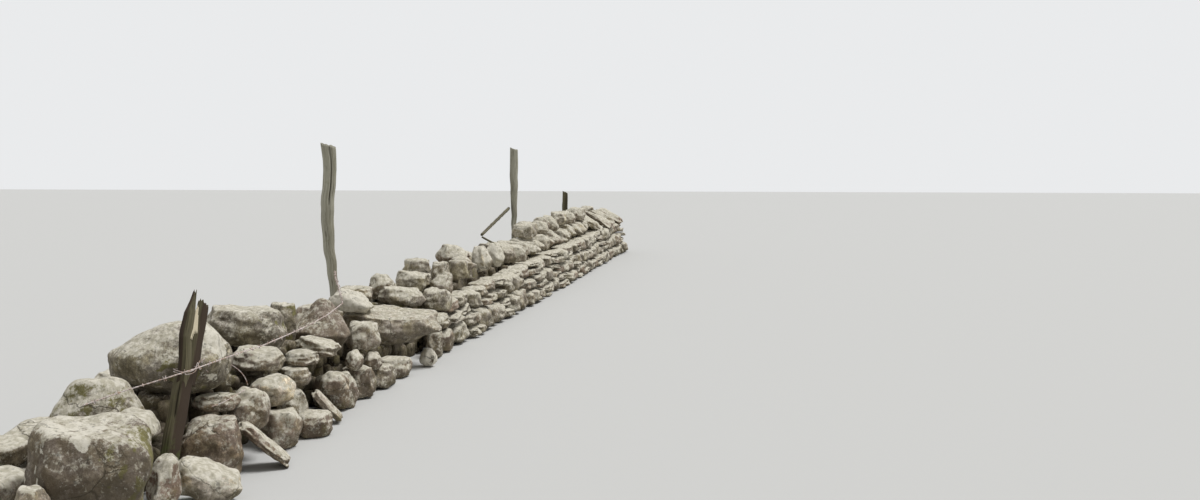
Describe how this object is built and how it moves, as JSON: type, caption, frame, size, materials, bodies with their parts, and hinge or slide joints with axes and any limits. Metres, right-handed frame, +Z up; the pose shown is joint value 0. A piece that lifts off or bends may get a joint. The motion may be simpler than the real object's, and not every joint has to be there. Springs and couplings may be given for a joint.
{
  "type": "dry stone boulder wall with fence stakes",
  "caption": "Low dry stone wall of rounded granite boulders in six bays, with two battered faces, packed hearting, a rough cope, old fence stakes and a strand of barbed wire.",
  "frame": {"origin": "on the ground, half way along the wall, on its centre line", "axes": "+X along the wall, -Y out of the lane face, +Y out of the field face, +Z up"},
  "size_m": [18.0991, 1.5879, 1.9242],
  "materials": {
    "grey_granite": "rough weathered",
    "pale_granite": "rough, lichen covered",
    "dark_granite": "rough, damp",
    "red_granite": "rough, iron stained",
    "rubble": "rough",
    "old_wood": "rotten, split",
    "silvered_wood": "weathered silver",
    "rusty_wire": "rusty"
  },
  "bodies": {
    "root": {"hearting_1": "rubble", "hearting_2": "rubble", "hearting_3": "rubble", "hearting_4": "rubble", "hearting_5": "rubble", "hearting_6": "rubble", "lane_face_1": "dark_granite", "lane_face_2": "dark_granite", "lane_face_3": "grey_granite", "lane_face_4": "grey_granite", "lane_face_5": "grey_granite", "lane_face_6": "grey_granite", "field_face_1": "grey_granite", "field_face_2": "grey_granite", "field_face_3": "grey_granite", "field_face_4": "grey_granite", "field_face_5": "grey_granite", "field_face_6": "grey_granite", "cope_1": "grey_granite", "cope_2": "pale_granite", "cope_3": "pale_granite", "cope_4": "pale_granite", "cope_5": "pale_granite", "cope_6": "pale_granite", "end_boulder": "grey_granite", "mossy_boulder": "grey_granite", "great_boulder": "pale_granite", "long_boulder": "grey_granite", "wedge_boulder": "grey_granite", "table_boulder": "pale_granite", "lichen_boulder": "pale_granite", "banded_boulder": "pale_granite", "pale_foot_slab": "pale_granite", "leaning_slab": "red_granite", "red_foot_stone": "red_granite", "leaning_stake": "old_wood", "tall_post": "silvered_wood", "strainer_post": "silvered_wood", "fallen_rail": "old_wood", "loose_stick": "old_wood", "end_stake": "old_wood", "fence_wire": "rusty_wire"}
  },
  "joints": []
}
